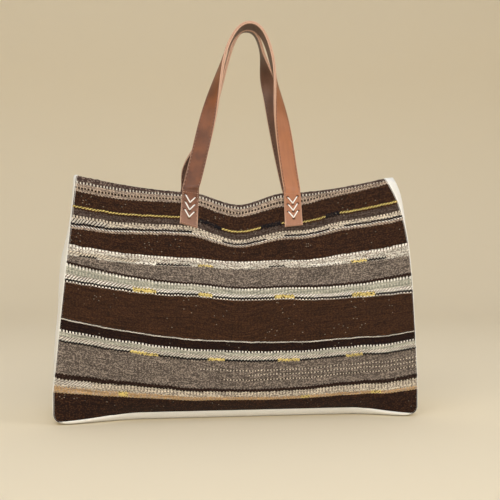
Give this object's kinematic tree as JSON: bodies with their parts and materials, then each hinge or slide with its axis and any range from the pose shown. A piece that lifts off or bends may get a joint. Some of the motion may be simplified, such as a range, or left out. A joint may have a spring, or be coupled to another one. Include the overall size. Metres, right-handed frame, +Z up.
{
  "type": "kilim tote bag",
  "caption": "Large open tote of striped flat-woven rug cloth with a pale cotton gusset and two doubled leather strap handles.",
  "frame": {"origin": "on the floor, in the middle of the flat underside of the gusset", "axes": "+Z up; -Y is the front panel's outer side; +X to the right as seen from the front"},
  "size_m": [0.5738, 0.1666, 0.6285],
  "materials": {
    "kilim": "weft-faced flat weave in wool, in bands of dark brown, grey, cream, tan and yellow",
    "gusset_cotton": "heavy off-white plain-weave cotton",
    "lining_cotton": "thin unbleached cotton",
    "leather": "smooth cognac leather with raw pale edges",
    "leather_backing": "dull brown-grey inner face",
    "thread": "thick waxed white thread"
  },
  "bodies": {
    "root": {"front_panel": "kilim", "back_panel": "kilim", "gusset": "gusset_cotton", "lining": "lining_cotton", "front_left_handle_end": "leather", "front_left_chevron_1": "thread", "front_left_chevron_2": "thread", "front_left_chevron_3": "thread", "front_right_handle_end": "leather", "front_right_chevron_1": "thread", "front_right_chevron_2": "thread", "front_right_chevron_3": "thread", "back_left_handle_end": "leather", "back_left_chevron_1": "thread", "back_left_chevron_2": "thread", "back_left_chevron_3": "thread", "back_right_handle_end": "leather", "back_right_chevron_1": "thread", "back_right_chevron_2": "thread", "back_right_chevron_3": "thread"},
    "front_handle": {"front_handle_strap": "leather", "front_handle_backing": "leather_backing"},
    "back_handle": {"back_handle_strap": "leather", "back_handle_backing": "leather_backing"}
  },
  "joints": [
    {"name": "front_handle_bend", "type": "hinge", "parent": "root", "child": "front_handle", "pos_m": [0.005, -0.0606, 0.357], "axis": [1, 0, 0], "range_deg": [0, 170]},
    {"name": "back_handle_bend", "type": "hinge", "parent": "root", "child": "back_handle", "pos_m": [0.014, 0.06197, 0.357], "axis": [-1, 0, 0], "range_deg": [0, 170]}
  ]
}
